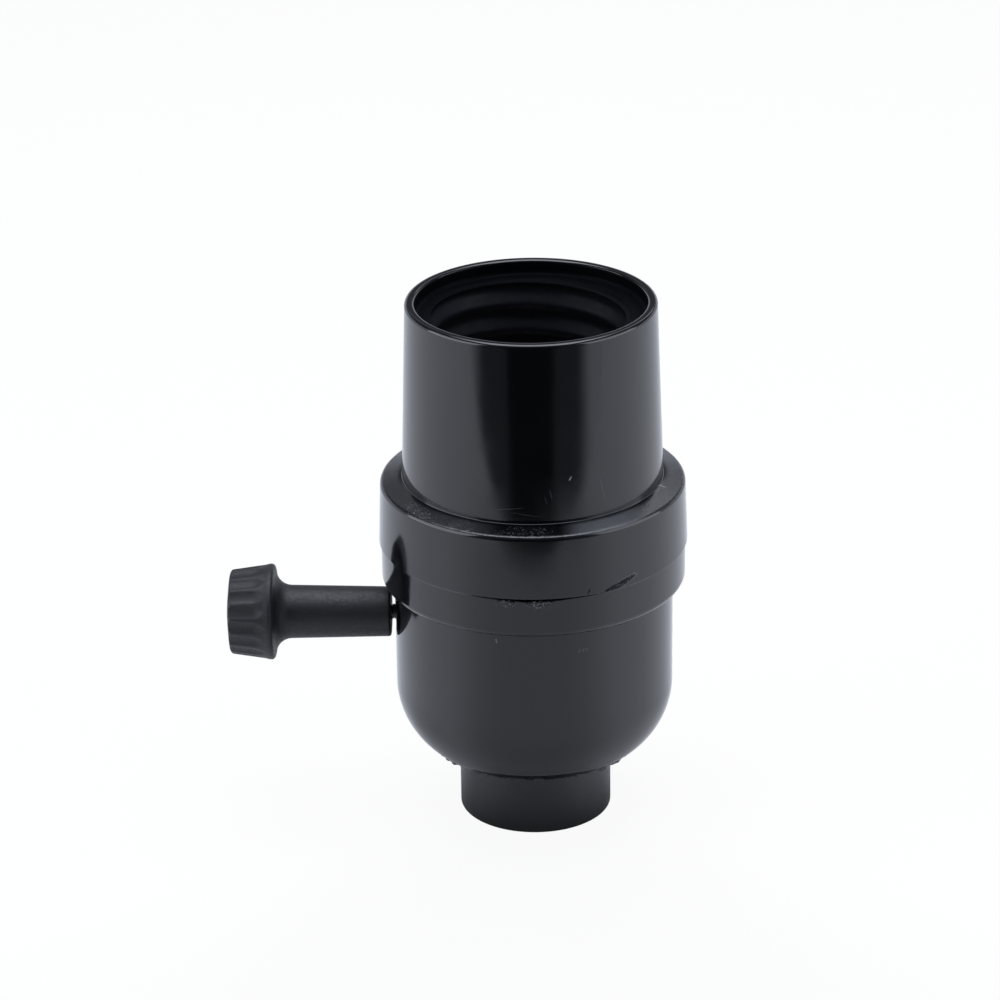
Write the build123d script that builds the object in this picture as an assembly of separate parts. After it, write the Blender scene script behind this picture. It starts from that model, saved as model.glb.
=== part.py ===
from build123d import *
import math
import os

os.makedirs("parts", exist_ok=True)

# All lengths are in millimetres and all angles in degrees. The origin is the centre of the hub's flat
# end, +Z runs up the socket to the bulb, and the knob points along -X.

# Lower cap, outside
hub_radius = 10.28
hub_height = 10.04
hub_rounding = 0.35
dome_radius = 10.7        # the curve from the body's side down to the hub's shoulder
dome_rise = 8.91
body_straight = 14.94
cap_ring_step = 1.64      # how far the ring stands out from the body
cap_ring_height = 5.71
cap_ring_rounding = 1.0

# Upper shell, outside
seam_step = 0.28          # the shell's ring stands out from the cap's by this much
shell_ring_height = 8.6
shell_ring_draft = 0.3    # the ring is narrower by this much at its top
shell_ring_rounding = 0.6
flange_rise = 0.7         # the ring's top slopes up to the sleeve by this much
sleeve_height = 25.1      # from the ring's edge
sleeve_draft = 0.82       # the sleeve is narrower by this much at its rim
rim_rounding = 0.5

# Walls and seats of the two mouldings
cap_wall = 2.2
sleeve_wall = 3.66        # from the screw shell's seat to the outside, at the sleeve's foot
rim_wall = 1.34
rim_depth = 2.0
flange_wall = 2.17        # from the ring's edge down to the contact block
ring_wall = 1.46          # of the cap's ring, round the spigot
spigot_wall = 1.4         # of the upper shell's foot, round the chamber
spigot_length = 3.5
fit_gap = 0.1             # between pieces that are pushed together
screw_fit = 0.02          # between a screw or pin and the hole that grips it

# Bulb thread
thread_pitch = 3.629
thread_root_radius = 13.3
thread_depth = 0.85
thread_groove = 1.2       # radius of the round groove
moulded_thread_length = 9.6
mouth_chamfer = 0.8

# Screw shell
sheet = 0.35
screw_shell_gap = 1.0     # from the top of the screw shell to the moulded thread
screw_shell_margin = 2.2  # plain length at each end of the rolled thread
thread_runout = 0.05      # how much further, in height, the outer bead runs than the inner groove

# Hub bushing
pipe_thread_radius = 4.57
bushing_radius = 6.5
bushing_length = 11.6
bushing_chamfer = 0.4
bushing_grooves = 2       # for the moulding's grip
bushing_groove_width = 1.2
bushing_groove_depth = 0.5
wire_hole_radius = 5.6

# Contact block and fibre plate
block_thickness = 5.0
pedestal_radius = 8.9
pedestal_height = 1.5
plate_thickness = 0.6

# Contacts, rivets and strips
contact_sheet = 0.4
terminal_sheet = 0.6
tongue_width = 3.0
tongue_foot_radius = 2.0
tongue_foot_length = 1.9
tongue_play = 0.25        # above and below a tongue's foot, so that the tongue can tilt
tongue_hole_play = 0.15
tongue_curl_length = 1.6
tongue_curl_drop = 0.7
centre_tongue_rise = 2.3
ring_tongue_rise = 3.3
ring_contact_radius = 6.3
ring_contact_angle = 170
rivet_radius = 0.9
rivet_fit = 0.05
contact_rivet_head = 1.5
contact_rivet_y = 4.0
shell_rivet_head = 1.4
shell_rivet_inset = 1.55  # from a shell rivet's middle to the thread's crest
shell_rivet_angles = (-90, 65)
rivet_head_height = 0.7
brush_width = 2.6
brush_clearance = 0.25    # between a brush and the turning drum
brush_leg_start = 2.0
brush_pad_start = 1.0
brush_pad_end = -1.6
brush_toe_length = 1.4
brush_toe_rise = 1.0
brush_foot_margin = 1.9
bend_radius = 0.6

# Switch
knob_height = 28.47       # height of the switch's axis
track_pitch = 3.9         # the drum has three brush tracks side by side
drum_radius = 6.4
rotor_half_length = 8.3
wiper_sheet = 0.4
low_track_arcs = ((-120, -60), (60, 120))
high_track_arc = (60, 210)
cam_flat = 4.7            # from the axis to each flat of the four-sided cam
cam_rounding = 1.6
rotor_end_gap = 0.3
rotor_side_gap = 0.5
rotor_floor_gap = 0.6
housing_end_wall = 1.6
housing_side_wall = 1.2
housing_floor = 4.5
ear_thickness = 3.0
ear_width = 6.0
running_gap = 0.05        # of the shaft in its bearings
shaft_radius = 2.4
shaft_flat = 1.9
shaft_end_gap = 1.92      # from the shaft's tapped end to the cap's inner wall
tapped_depth = 8.6
pivot_radius = 1.6
pivot_length = 4.1
clip_thickness = 0.5
clip_radius = 2.9
clip_opening = 1.6
clip_play = 0.25
clip_groove_radius = 1.15
spring_sheet = 0.35
spring_margin = 0.125     # from each edge of the spring to the cam's ends
spring_flat = 3.0
spring_end_gap = 0.3
spring_clearance = 0.05

# Screws
assembly_screw_radius = 1.1
assembly_screw_head = 1.85
assembly_screw_head_height = 1.3
assembly_screw_gap = 0.65 # from the screw shell's rim to an assembly screw
assembly_screw_edge = 2.0 # from a screw's middle to the chamber's wall
assembly_screw_depth = 6.0
clearance_hole = 0.1
terminal_screw_radius = 1.75
terminal_screw_head = 3.5
terminal_screw_head_height = 2.0
terminal_screw_length = 4.0
slot_width = 0.8
slot_depth = 0.7
hole_depth_spare = 0.4

# Terminals
terminal_width = 7.4
terminal_height = 7.2
hot_strip_width = 2.6
neutral_strip_width = 5.0
neutral_foot_margin = 1.8

# Knob
stem_gap = 0.56           # between the stem's end and the body
stem_end_radius = 3.38
stem_neck_radius = 3.66
stem_length = 13.1
stem_end_rounding = 0.4
neck_rounding = 2.2
head_flange_radius = 6.59
head_flange_width = 1.2
head_flange_rounding = 0.55
head_back_slope = 0.5
head_end_radius = 5.74
head_length = 6.4
head_end_rounding = 0.7
head_dome = 0.5
flute_count = 18
flute_radius = 1.7
flute_depth = 0.32
flute_turn = 90.0          # angle that puts one flute at the front
stud_radius = 1.09
stud_engagement = 8.0
stud_in_knob = 12.0
stud_hole_radius = 2.6

# Heights, worked out from the sizes above
dome_top = hub_height + dome_rise
step_height = dome_top + body_straight
seam_height = step_height + cap_ring_height
flange_height = seam_height + shell_ring_height
socket_height = flange_height + sleeve_height
ledge_height = socket_height - rim_depth
thread_top = ledge_height - mouth_chamfer
thread_bottom = thread_top - moulded_thread_length
block_top = flange_height - flange_wall
block_bottom = block_top - block_thickness
plate_bottom = block_bottom - plate_thickness
pedestal_top = block_top + pedestal_height
spigot_bottom = seam_height - spigot_length
screw_shell_top = thread_bottom - screw_shell_gap
tongue_height = pedestal_top + tongue_play + contact_sheet / 2

# Radii and half widths, worked out from the bulb thread outwards
thread_crest_radius = thread_root_radius - thread_depth
thread_centre_radius = thread_root_radius - thread_groove
screw_shell_radius = thread_root_radius + sheet
screw_shell_seat = screw_shell_radius + fit_gap
sleeve_foot_radius = screw_shell_seat + sleeve_wall
sleeve_top_radius = sleeve_foot_radius - sleeve_draft
rim_bore_radius = sleeve_top_radius - rim_wall
shell_rivet_circle = thread_crest_radius - shell_rivet_inset
assembly_screw_circle = screw_shell_radius + assembly_screw_gap + assembly_screw_radius
chamber_radius = assembly_screw_circle + assembly_screw_edge
spigot_radius = chamber_radius + spigot_wall
cap_ring_radius = spigot_radius + fit_gap + ring_wall
shell_ring_radius = cap_ring_radius + seam_step
body_radius = cap_ring_radius - cap_ring_step
cap_inner_radius = body_radius - cap_wall
shaft_reach = cap_inner_radius - shaft_end_gap
drum_core_radius = drum_radius - wiper_sheet
housing_inner_x = rotor_half_length + rotor_end_gap
housing_outer_x = housing_inner_x + housing_end_wall
housing_inner_y = drum_radius + rotor_side_gap
housing_outer_y = housing_inner_y + housing_side_wall
chamber_floor = knob_height - drum_radius - rotor_floor_gap
housing_bottom = chamber_floor - housing_floor
terminal_height_centre = (housing_bottom + chamber_floor) / 2
track_edge = 1.5 * track_pitch
spring_width = rotor_half_length - track_edge - 2 * spring_margin
stem_end = body_radius + stem_gap


def outline(*points):
    """The flat section inside a closed row of (radius, height) points."""
    return make_face(Polyline(*[(radius, 0, height) for radius, height in points], close=True))


def rounded(section, *corners):
    """The section with each listed (radius, height, rounding) corner rounded."""
    for radius, height, rounding in corners:
        corner = section.vertices().sort_by_distance((radius, 0, height))[0]
        section = fillet(corner, rounding)
    return section


def turned(section):
    """The solid that the section sweeps about the socket's axis."""
    return revolve(section, Axis.Z)


def rod(radius, low, high, x=0, y=0):
    """An upright cylinder between two heights."""
    return Pos(x, y, (low + high) / 2) * Cylinder(radius, high - low)


def block(x_range, y_range, z_range):
    """A box between two limits on each axis."""
    middle = [(low + high) / 2 for low, high in (x_range, y_range, z_range)]
    size = [high - low for low, high in (x_range, y_range, z_range)]
    return Pos(*middle) * Box(*size)


def on_switch_axis(solid):
    """Lays a solid made along +Z on the switch's axis, so that its +Z points along +X."""
    return Pos(0, 0, knob_height) * Rot(0, 90, 0) * solid


def thread_turns(groove_radius, low, high):
    """The turns of a round bead wound at the bulb thread's pitch, one solid for each turn.

    The bead's centre is at the angle 360 * height / pitch, so all threads made here are in phase.
    """
    turns = math.ceil((high - low) / thread_pitch)
    for turn in range(turns):
        start = low + turn * thread_pitch
        rise = min(thread_pitch, high - start)
        path = Helix(thread_pitch, rise, thread_centre_radius)
        section = Plane(path @ 0, z_dir=path % 0) * Circle(groove_radius)
        bead = sweep(section, path, is_frenet=True)
        yield Pos(0, 0, start) * Rot(0, 0, 360 * start / thread_pitch) * bead


def upper_shell():
    """Black moulding: sleeve, upper half of the ring, bulb thread and the spigot that enters the cap."""
    ring_top_radius = shell_ring_radius - shell_ring_draft
    mouth_radius = thread_crest_radius + mouth_chamfer
    section = outline(
        (chamber_radius, spigot_bottom),
        (spigot_radius, spigot_bottom),
        (spigot_radius, seam_height),
        (shell_ring_radius, seam_height),
        (ring_top_radius, flange_height),
        (sleeve_foot_radius, flange_height + flange_rise),
        (sleeve_top_radius, socket_height),
        (rim_bore_radius, socket_height),
        (rim_bore_radius, ledge_height),
        (mouth_radius, ledge_height),
        (thread_crest_radius, thread_top),
        (thread_crest_radius, thread_bottom),
        (screw_shell_seat, thread_bottom),
        (screw_shell_seat, block_top),
        (chamber_radius, block_top),
    )
    section = rounded(
        section,
        (ring_top_radius, flange_height, shell_ring_rounding),
        (sleeve_top_radius, socket_height, rim_rounding),
    )
    shell = turned(section)
    for side in (-1, 1):
        shell -= rod(
            assembly_screw_radius + screw_fit,
            block_top,
            block_top + assembly_screw_depth + hole_depth_spare,
            side * assembly_screw_circle,
        )
    for bead in thread_turns(thread_groove, thread_bottom - thread_pitch, ledge_height + thread_pitch):
        clear_of_wall = bead & rod(rim_bore_radius, thread_bottom, socket_height)
        shell -= clear_of_wall
    return shell


def lower_cap():
    """Black moulding: lower half of the ring, body, dome and hub, with the hole for the knob's stud."""
    dome_centre = body_radius - dome_radius
    inner_dome = dome_radius - cap_wall
    floor = hub_height + cap_wall
    ring_bore = spigot_radius + fit_gap
    ring_floor = spigot_bottom - fit_gap

    def on_dome(radius, angle):
        return dome_centre + radius * math.cos(angle), dome_top - radius * math.sin(angle)

    def dome_arc(radius, height):
        end = math.asin((dome_top - height) / radius)
        points = [on_dome(radius, angle) for angle in (end, end / 2, 0)]
        return ThreePointArc(*[(r, 0, z) for r, z in points])

    outer = dome_arc(dome_radius, hub_height)
    inner = dome_arc(inner_dome, floor)
    up_the_hub = [(bushing_radius, 0), (hub_radius, 0), (hub_radius, hub_height)]
    up_the_side = [
        (body_radius, dome_top),
        (body_radius, step_height),
        (cap_ring_radius, step_height),
        (cap_ring_radius, seam_height),
        (ring_bore, seam_height),
        (ring_bore, ring_floor),
        (cap_inner_radius, ring_floor),
        (cap_inner_radius, dome_top),
    ]
    back_to_the_hub = [
        (wire_hole_radius, floor),
        (wire_hole_radius, bushing_length),
        (bushing_radius, bushing_length),
        (bushing_radius, 0),
    ]
    lines = Polyline(*[(r, 0, z) for r, z in up_the_hub], outer @ 0)
    lines += outer
    lines += Polyline(*[(r, 0, z) for r, z in up_the_side])
    lines += inner
    lines += Polyline(inner @ 0, *[(r, 0, z) for r, z in back_to_the_hub])
    section = rounded(
        make_face(lines),
        (hub_radius, 0, hub_rounding),
        (cap_ring_radius, step_height, cap_ring_rounding),
    )
    hole = rod(stud_hole_radius, -body_radius, -cap_inner_radius / 2)
    return turned(section) - on_switch_axis(hole)


def hub_bushing():
    """Threaded metal bushing, moulded into the hub and flush with its flat end."""
    section = outline(
        (pipe_thread_radius + bushing_chamfer, 0),
        (bushing_radius, 0),
        (bushing_radius, bushing_length),
        (pipe_thread_radius, bushing_length),
        (pipe_thread_radius, bushing_chamfer),
    )
    bushing = turned(section)
    groove = rod(bushing_radius, 0, bushing_groove_width)
    groove -= rod(bushing_radius - bushing_groove_depth, 0, bushing_groove_width)
    for number in range(1, bushing_grooves + 1):
        middle = bushing_length * number / (bushing_grooves + 1)
        bushing -= Pos(0, 0, middle - bushing_groove_width / 2) * groove
    return bushing


def screw_shell():
    """Thin metal shell with the rolled bulb thread, turned in at its foot where it is riveted."""
    wall_radius = thread_crest_radius + sheet
    low = block_top + screw_shell_margin
    high = screw_shell_top - screw_shell_margin
    shell = rod(wall_radius, block_top, screw_shell_top)
    shell += rod(screw_shell_radius, screw_shell_top - sheet, screw_shell_top)
    for bead in thread_turns(thread_groove + sheet, low - thread_runout, high + thread_runout):
        shell += bead
    shell -= rod(thread_crest_radius, block_top + sheet, screw_shell_top)
    for bead in thread_turns(thread_groove, low, high):
        shell -= bead
    shell -= rod(pedestal_radius + fit_gap, block_top, block_top + sheet)
    for x, y in shell_rivet_places():
        shell -= rod(rivet_radius + rivet_fit, block_top, block_top + sheet, x, y)
    return shell


def contact_rivet_places():
    """The low brush's rivet and the high brush's rivet, in that order."""
    return (-track_pitch, -contact_rivet_y), (track_pitch, contact_rivet_y)


def shell_rivet_places():
    """The rivet that also holds the neutral terminal comes first."""
    return [
        (
            shell_rivet_circle * math.cos(math.radians(angle)),
            shell_rivet_circle * math.sin(math.radians(angle)),
        )
        for angle in shell_rivet_angles
    ]


def with_fastener_holes(disc, low, high):
    """The disc with the holes of all rivets and assembly screws that pass through it."""
    for x, y in (*contact_rivet_places(), *shell_rivet_places()):
        disc -= rod(rivet_radius + rivet_fit, low, high, x, y)
    for side in (-1, 1):
        disc -= rod(assembly_screw_radius + clearance_hole, low, high, side * assembly_screw_circle)
    return disc


def contact_block():
    """Insulating disc under the bulb space, with a raised middle that carries the two tongues."""
    disc = rod(chamber_radius - fit_gap, block_bottom, block_top)
    disc += rod(pedestal_radius, block_top, pedestal_top)
    return with_fastener_holes(disc, block_bottom, pedestal_top)


def fibre_plate():
    """Thin insulating plate that closes the switch chamber."""
    disc = rod(chamber_radius - fit_gap, plate_bottom, block_bottom)
    return with_fastener_holes(disc, plate_bottom, block_bottom)


def tongue(reach, rise):
    """A spring tongue along +X from its rivet at the origin: foot, rising leg and curled end."""
    line = FilletPolyline(
        (0, 0, 0),
        (tongue_foot_length, 0, 0),
        (reach, 0, rise),
        (reach + tongue_curl_length, 0, rise - tongue_curl_drop),
        radius=bend_radius,
    )
    strip = sweep_strip(line, contact_sheet, tongue_width)
    foot = Cylinder(tongue_foot_radius, contact_sheet)
    hole = Cylinder(rivet_radius + tongue_hole_play, contact_sheet)
    return strip + foot - hole


def sweep_strip(line, thickness, width):
    """A strip of the given thickness along a line in the XZ plane, centred on that plane."""
    flat = Plane.XZ.to_local_coords(line)
    return Plane.XZ * extrude(trace(flat, thickness), width / 2, both=True)


def tongue_on_rivet(place, target, rise):
    """The tongue that starts at one place and peaks over another."""
    dx = target[0] - place[0]
    dy = target[1] - place[1]
    turn = math.degrees(math.atan2(dy, dx))
    return Pos(*place, tongue_height) * Rot(0, 0, turn) * tongue(math.hypot(dx, dy), rise)


def centre_contact():
    """Spring tongue for the bulb's centre contact."""
    return tongue_on_rivet(contact_rivet_places()[1], (0, 0), centre_tongue_rise)


def ring_contact():
    """Spring tongue for the ring contact that surrounds the centre contact of a three-way bulb."""
    angle = math.radians(ring_contact_angle)
    target = (ring_contact_radius * math.cos(angle), ring_contact_radius * math.sin(angle))
    return tongue_on_rivet(contact_rivet_places()[0], target, ring_tongue_rise)


def rivet(place, head_radius, grip_low, grip_high):
    """A rivet that grips everything between two heights."""
    x, y = place
    shank = rod(rivet_radius, grip_low, grip_high, x, y)
    shank += rod(head_radius, grip_high, grip_high + rivet_head_height, x, y)
    return shank + rod(head_radius, grip_low - rivet_head_height, grip_low, x, y)


def contact_rivets():
    """Two rivets, each joining a tongue to its brush through the block."""
    low = plate_bottom - contact_sheet
    high = tongue_height + contact_sheet / 2 + tongue_play
    return [rivet(place, contact_rivet_head, low, high) for place in contact_rivet_places()]


def shell_rivets():
    """Two rivets that hold the screw shell's foot on the block; the first also holds the neutral strip."""
    high = block_top + sheet
    neutral, plain = shell_rivet_places()
    return [
        rivet(neutral, shell_rivet_head, plate_bottom - terminal_sheet, high),
        rivet(plain, shell_rivet_head, plate_bottom, high),
    ]


def brush_line(foot_end, foot_height):
    """The line of a brush in the YZ plane, from its foot down to the drum: foot, leg, pad and toe."""
    pad_height = knob_height + drum_radius + brush_clearance
    return (
        (foot_end, foot_height),
        (brush_leg_start, foot_height),
        (brush_pad_start, pad_height),
        (brush_pad_end, pad_height),
        (brush_pad_end - brush_toe_length, pad_height + brush_toe_rise),
    )


def strip_along_y(points, thickness, width, x=0):
    """A folded strip whose line is a row of (y, z) points, centred on one x."""
    line = FilletPolyline(*[(y, 0, z) for y, z in points], radius=bend_radius)
    return Pos(x, 0, 0) * Rot(0, 0, 90) * sweep_strip(line, thickness, width)


def high_brush():
    """Spring strip from the centre contact's rivet to the drum's high track."""
    x, y = contact_rivet_places()[1]
    points = brush_line(y + brush_foot_margin, plate_bottom - contact_sheet / 2)
    lifted = [points[0], points[1]] + [(py, pz + contact_sheet / 2) for py, pz in points[2:]]
    strip = strip_along_y(lifted, contact_sheet, brush_width, x)
    return strip - rod(rivet_radius + rivet_fit, plate_bottom - contact_sheet, plate_bottom, x, y)


def low_brush():
    """Spring strip from the ring contact's rivet to the drum's low track."""
    return Rot(0, 0, 180) * high_brush()


def terminal_blade(strip_width):
    """The upright part of a terminal on the +Y face: a wide end for the screw and a narrower strip."""
    y_range = (housing_outer_y, housing_outer_y + terminal_sheet)
    low = terminal_height_centre - terminal_height / 2
    high = terminal_height_centre + terminal_height / 2
    wide = block((-terminal_width / 2, terminal_width / 2), y_range, (low, high))
    hole = Rot(90, 0, 0) * Cylinder(terminal_screw_radius + screw_fit, terminal_sheet)
    wide -= Pos(0, housing_outer_y + terminal_sheet / 2, terminal_height_centre) * hole
    return wide, high - bend_radius


def hot_terminal():
    """Folded strip: terminal outside, then over the housing's wall and down to the drum's feed track."""
    wide, strip_low = terminal_blade(hot_strip_width)
    middle_y = housing_outer_y + terminal_sheet / 2
    foot_height = plate_bottom - terminal_sheet / 2
    points = brush_line(middle_y, foot_height)
    lifted = [points[0], points[1]] + [(py, pz + terminal_sheet / 2) for py, pz in points[2:]]
    return wide + strip_along_y([(middle_y, strip_low), *lifted], terminal_sheet, hot_strip_width)


def neutral_terminal():
    """Folded strip on the opposite face, turned out under the plate to the screw shell's rivet."""
    wide, strip_low = terminal_blade(neutral_strip_width)
    middle_y = housing_outer_y + terminal_sheet / 2
    foot_height = plate_bottom - terminal_sheet / 2
    foot_end = shell_rivet_circle + neutral_foot_margin
    points = [(middle_y, strip_low), (middle_y, foot_height), (foot_end, foot_height)]
    strip = wide + strip_along_y(points, terminal_sheet, neutral_strip_width)
    x, y = shell_rivet_places()[0]
    hole = rod(rivet_radius + rivet_fit, plate_bottom - terminal_sheet, plate_bottom, x, y)
    return Rot(0, 0, 180) * strip - hole


def slotted_screw(radius, length, head_radius, head_height):
    """A screw along +Z: shank below the origin, slotted head above it."""
    screw = rod(radius, -length, 0) + rod(head_radius, 0, head_height)
    slot = Box(2 * head_radius, slot_width, slot_depth)
    return screw - Pos(0, 0, head_height - slot_depth / 2) * slot


def terminal_screw(side):
    """A terminal screw on the +Y face (side 1) or the -Y face (side -1), with its head outside."""
    screw = slotted_screw(
        terminal_screw_radius,
        terminal_screw_length,
        terminal_screw_head,
        terminal_screw_head_height,
    )
    place = Pos(0, side * (housing_outer_y + terminal_sheet), terminal_height_centre)
    return place * Rot(-90 * side, 0, 0) * screw


def hot_screw():
    """Brass terminal screw."""
    return terminal_screw(1)


def neutral_screw():
    """Pale terminal screw."""
    return terminal_screw(-1)


def assembly_screws():
    """Two long screws from under the housing's ears into the upper shell."""
    head_base = plate_bottom - ear_thickness
    length = block_top + assembly_screw_depth - head_base
    screw = slotted_screw(
        assembly_screw_radius,
        length,
        assembly_screw_head,
        assembly_screw_head_height,
    )
    turned_up = Rot(180, 0, 0) * screw
    return [Pos(side * assembly_screw_circle, 0, head_base) * turned_up for side in (-1, 1)]


def switch_housing():
    """Moulded box of the switch, open at the top, with an ear at each end for an assembly screw."""
    x_range = (-housing_outer_x, housing_outer_x)
    y_range = (-housing_outer_y, housing_outer_y)
    housing = block(x_range, y_range, (housing_bottom, plate_bottom))
    ear_low = plate_bottom - ear_thickness
    ears = block(
        (-chamber_radius, chamber_radius),
        (-ear_width / 2, ear_width / 2),
        (ear_low, plate_bottom),
    )
    housing += ears & rod(chamber_radius - fit_gap, ear_low, plate_bottom)
    housing -= block(
        (-housing_inner_x, housing_inner_x),
        (-housing_inner_y, housing_inner_y),
        (chamber_floor, plate_bottom),
    )
    housing -= on_switch_axis(rod(shaft_radius + running_gap, -housing_outer_x, 0))
    housing -= on_switch_axis(rod(pivot_radius + running_gap, 0, housing_outer_x))
    screw_hole = assembly_screw_radius + clearance_hole
    for side in (-1, 1):
        housing -= rod(screw_hole, ear_low, plate_bottom, side * assembly_screw_circle)
        depth = terminal_screw_length - terminal_sheet + hole_depth_spare
        pocket = Rot(90, 0, 0) * Cylinder(terminal_screw_radius + clearance_hole, depth)
        housing -= Pos(0, side * (housing_outer_y - depth / 2), terminal_height_centre) * pocket
    notch_half = hot_strip_width / 2 + fit_gap
    return housing - block(
        (-notch_half, notch_half),
        (housing_inner_y, housing_outer_y),
        (plate_bottom - terminal_sheet - bend_radius, plate_bottom),
    )


def ring_sector(start, end, low, high):
    """Part of the drum's skin between two angles from the top and two places along the axis."""
    skin = outline(
        (drum_core_radius, low),
        (drum_radius, low),
        (drum_radius, high),
        (drum_core_radius, high),
    )
    return Rot(0, 0, start + 180) * revolve(skin, Axis.Z, revolution_arc=end - start)


def rotor_wiper():
    """Copper sleeve: a full ring under the feed brush, with tabs under the low and high brushes."""
    middle = track_pitch / 2
    sleeve = ring_sector(0, 360, -middle, middle)
    for start, end in low_track_arcs:
        sleeve += ring_sector(start, end, -track_edge, -middle)
    sleeve += ring_sector(*high_track_arc, middle, track_edge)
    return on_switch_axis(sleeve)


def shaft_bore(gap):
    """The shaft's round section with one flat, as long as the rotor."""
    bore = Cylinder(shaft_radius + gap, 2 * rotor_half_length)
    past_flat = Pos(0, shaft_flat + gap + shaft_radius, 0)
    return bore - past_flat * Box(4 * shaft_radius, 2 * shaft_radius, 2 * rotor_half_length)


def rotor():
    """Insulating drum with a recess for the copper sleeve, and the four-sided cam at its inner end."""
    drum = rod(drum_radius, -rotor_half_length, track_edge)
    square = RectangleRounded(2 * cam_flat, 2 * cam_flat, cam_rounding)
    cam = Pos(0, 0, track_edge) * extrude(square, rotor_half_length - track_edge)
    return on_switch_axis(drum + cam - shaft_bore(screw_fit)) - rotor_wiper()


def switch_shaft():
    """Brass shaft: tapped end towards the knob, a flat through the rotor, and a thin pivot with a groove."""
    shaft = rod(shaft_radius, -shaft_reach, -rotor_half_length) + shaft_bore(0)
    shaft += rod(pivot_radius, rotor_half_length, rotor_half_length + pivot_length)
    groove_low = housing_outer_x + clip_play - fit_gap
    groove_high = housing_outer_x + clip_play + clip_thickness + fit_gap
    groove = rod(pivot_radius, groove_low, groove_high)
    shaft -= groove - rod(clip_groove_radius, groove_low, groove_high)
    shaft -= rod(stud_radius + screw_fit, -shaft_reach, -shaft_reach + tapped_depth)
    return on_switch_axis(shaft)


def shaft_clip():
    """Open ring in the pivot's groove, which keeps the shaft in the housing."""
    low = housing_outer_x + clip_play
    high = low + clip_thickness
    ring = rod(clip_radius, low, high) - rod(clip_groove_radius + screw_fit, low, high)
    mouth = block((-clip_opening / 2, clip_opening / 2), (0, clip_radius), (low, high))
    return on_switch_axis(ring - mouth)


def detent_spring():
    """Arched leaf spring that stands on the chamber's floor and presses on the cam's lowest flat."""
    middle_height = knob_height - cam_flat - spring_clearance - spring_sheet / 2
    end_height = chamber_floor + spring_sheet / 2
    end_y = housing_inner_y - spring_end_gap
    points = [
        (end_y, end_height),
        (spring_flat, middle_height),
        (-spring_flat, middle_height),
        (-end_y, end_height),
    ]
    spring = strip_along_y(points, spring_sheet, spring_width, (track_edge + rotor_half_length) / 2)
    below_floor = block(
        (0, housing_inner_x),
        (-housing_inner_y, housing_inner_y),
        (housing_bottom, chamber_floor),
    )
    return spring - below_floor


def knob():
    """Matt black knob: long stem, fluted conical head with a plain flange, and a bore for the stud."""
    neck = stem_end + stem_length
    flange_start = neck + neck_rounding
    flange_peak = flange_start + head_back_slope
    fluted_start = flange_peak + head_flange_width
    head_end = flange_peak + head_length
    section = outline(
        (0, stem_end),
        (stem_end_radius, stem_end),
        (stem_neck_radius, flange_start),
        (head_flange_radius, flange_peak),
        (head_end_radius, head_end - head_dome),
        (0, head_end - head_dome),
    )
    section = rounded(
        section,
        (stem_end_radius, stem_end, stem_end_rounding),
        (stem_neck_radius, flange_start, neck_rounding),
        (head_flange_radius, flange_peak, head_flange_rounding),
        (head_end_radius, head_end - head_dome, head_end_rounding),
    )
    body = turned(section)
    face_radius = head_end_radius - head_end_rounding
    cap_radius = (face_radius**2 + head_dome**2) / (2 * head_dome)
    face = Pos(0, 0, head_end - cap_radius) * Sphere(cap_radius)
    body += face & rod(face_radius, head_end - head_dome, head_end)
    slope = math.atan2(head_flange_radius - head_end_radius, head_length - head_dome)
    cutter = Cylinder(flute_radius, 2 * head_length, align=(Align.CENTER, Align.CENTER, Align.MIN))
    start_radius = head_flange_radius - head_flange_width * math.tan(slope)
    cutter = Pos(start_radius + flute_radius - flute_depth, 0, fluted_start) * Rot(
        0, -math.degrees(slope), 0
    ) * cutter
    for flute in range(flute_count):
        body -= Rot(0, 0, flute_turn + 360 * flute / flute_count) * cutter
    body -= rod(stud_radius + screw_fit, stem_end, stem_end + stud_in_knob)
    return on_switch_axis(Rot(180, 0, 0) * body)


def knob_stud():
    """Steel threaded rod, moulded into the knob and screwed into the shaft."""
    return on_switch_axis(rod(stud_radius, -stem_end - stud_in_knob, -shaft_reach + stud_engagement))


sub_parts = (
    upper_shell,
    lower_cap,
    hub_bushing,
    screw_shell,
    contact_block,
    centre_contact,
    ring_contact,
    contact_rivets,
    shell_rivets,
    fibre_plate,
    neutral_terminal,
    neutral_screw,
    hot_terminal,
    hot_screw,
    low_brush,
    high_brush,
    switch_housing,
    rotor,
    rotor_wiper,
    switch_shaft,
    shaft_clip,
    detent_spring,
    assembly_screws,
    knob,
    knob_stud,
)

for make in sub_parts:
    made = make()
    pieces = made if isinstance(made, list) else [made]
    solids = [solid for piece in pieces for solid in piece.solids()]
    export_step(Compound(solids), f"parts/{make.__name__}.step")
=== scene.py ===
import bmesh
import bpy
import numpy as np
from mathutils import Matrix


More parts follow.
